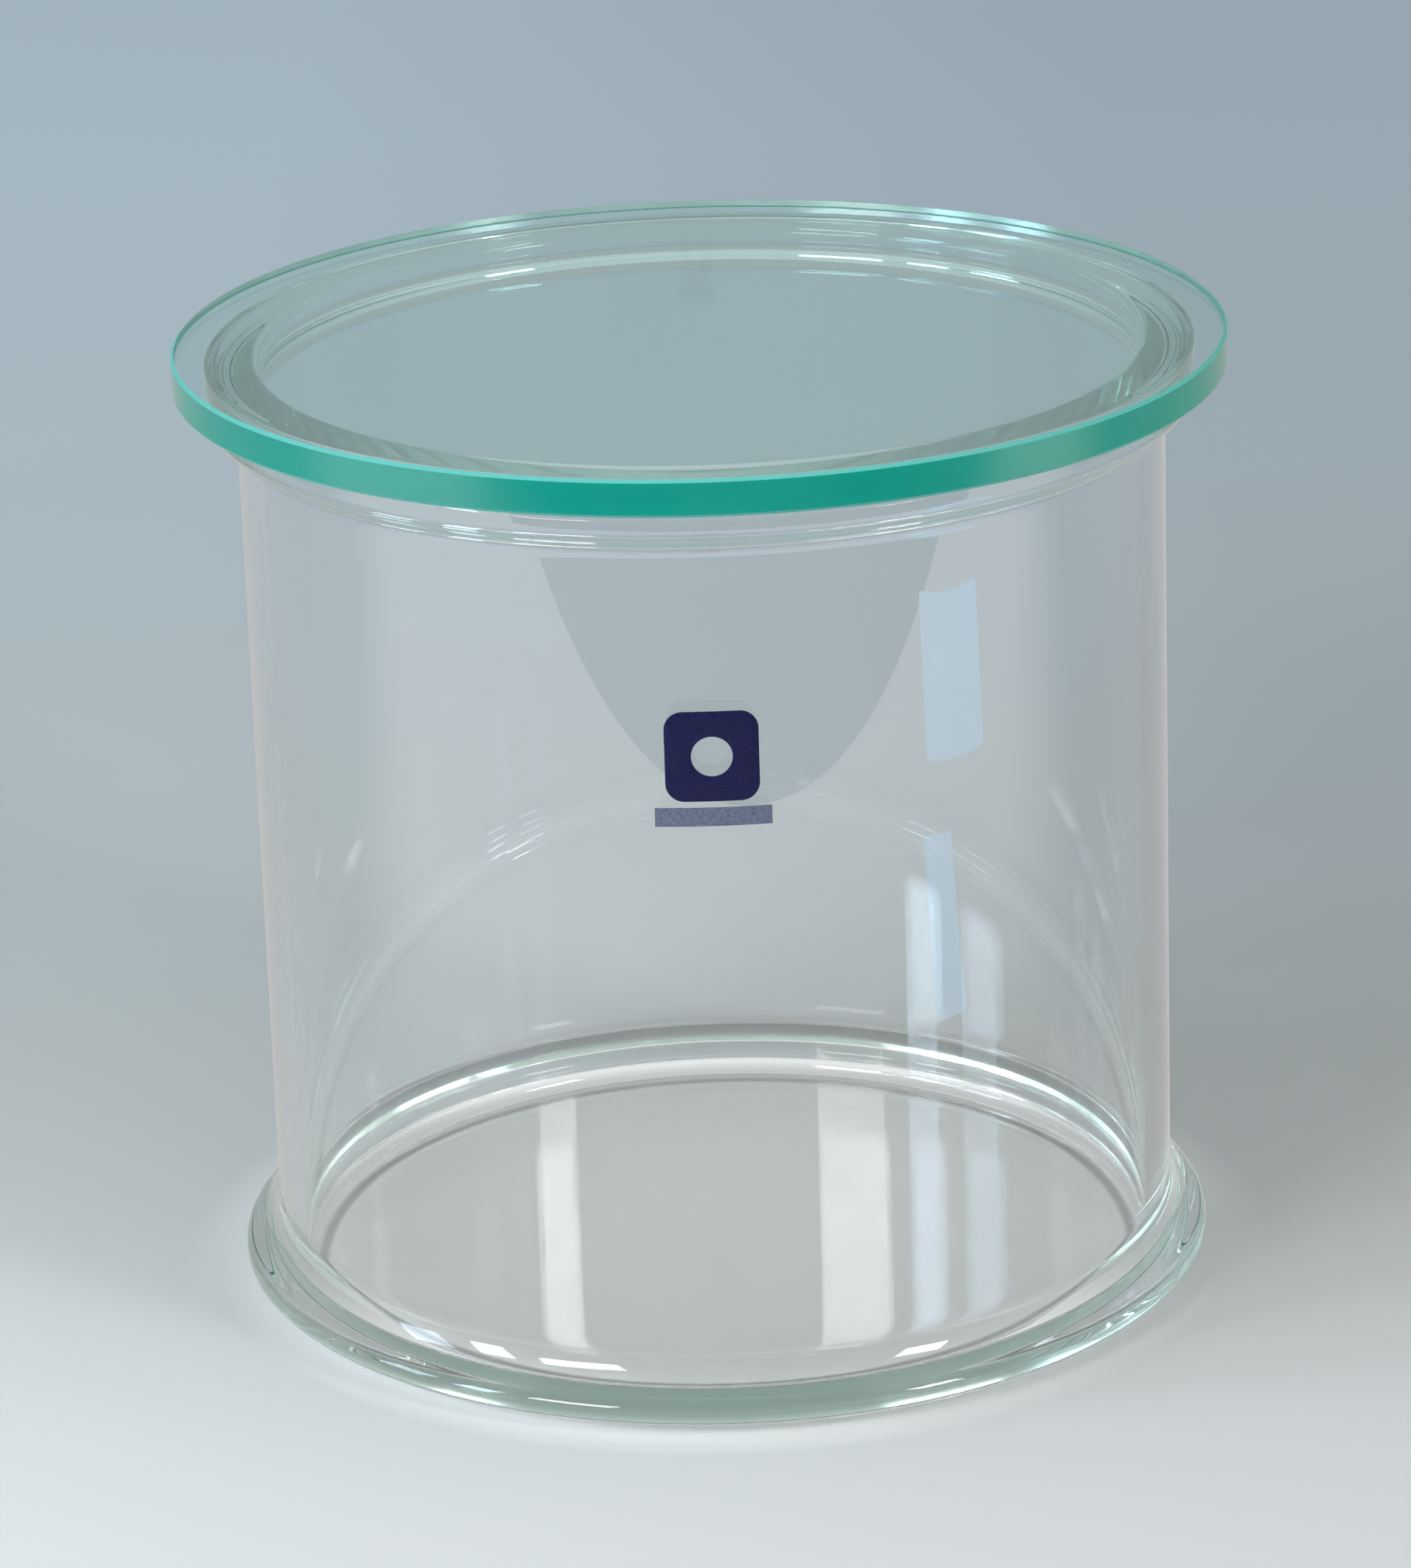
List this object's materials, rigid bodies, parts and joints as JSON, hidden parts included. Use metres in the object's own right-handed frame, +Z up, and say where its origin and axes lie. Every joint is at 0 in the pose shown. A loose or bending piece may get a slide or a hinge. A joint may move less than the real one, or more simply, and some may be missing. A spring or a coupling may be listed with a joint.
{
  "type": "crystallizing dish with cover",
  "caption": "Straight-sided clear glass crystallizing dish with a flared foot, a ground flange and a loose flat glass cover plate.",
  "frame": {"origin": "centre of the face the dish stands on", "axes": "+Z up along the axis of the dish, -Y towards the side that carries the enamel mark, +X to the right of someone facing the mark"},
  "size_m": [0.17, 0.17, 0.159],
  "materials": {
    "dish_glass": "clear and fire-polished, with the upper face of the flange ground flat and polished",
    "plate_glass": "clear float glass, strongly green through its edge, with ground bevels",
    "navy_enamel": "fired gloss enamel",
    "grey_enamel": "fired satin enamel"
  },
  "bodies": {
    "dish_body": {"dish": "dish_glass", "enamel_badge": "navy_enamel", "enamel_bar": "grey_enamel"},
    "cover_body": {"cover_plate": "plate_glass"}
  },
  "joints": [
    {"name": "cover_lift", "type": "slide", "parent": "dish_body", "child": "cover_body", "axis": [0, 0, 1], "range_m": [0, 0.12]}
  ]
}
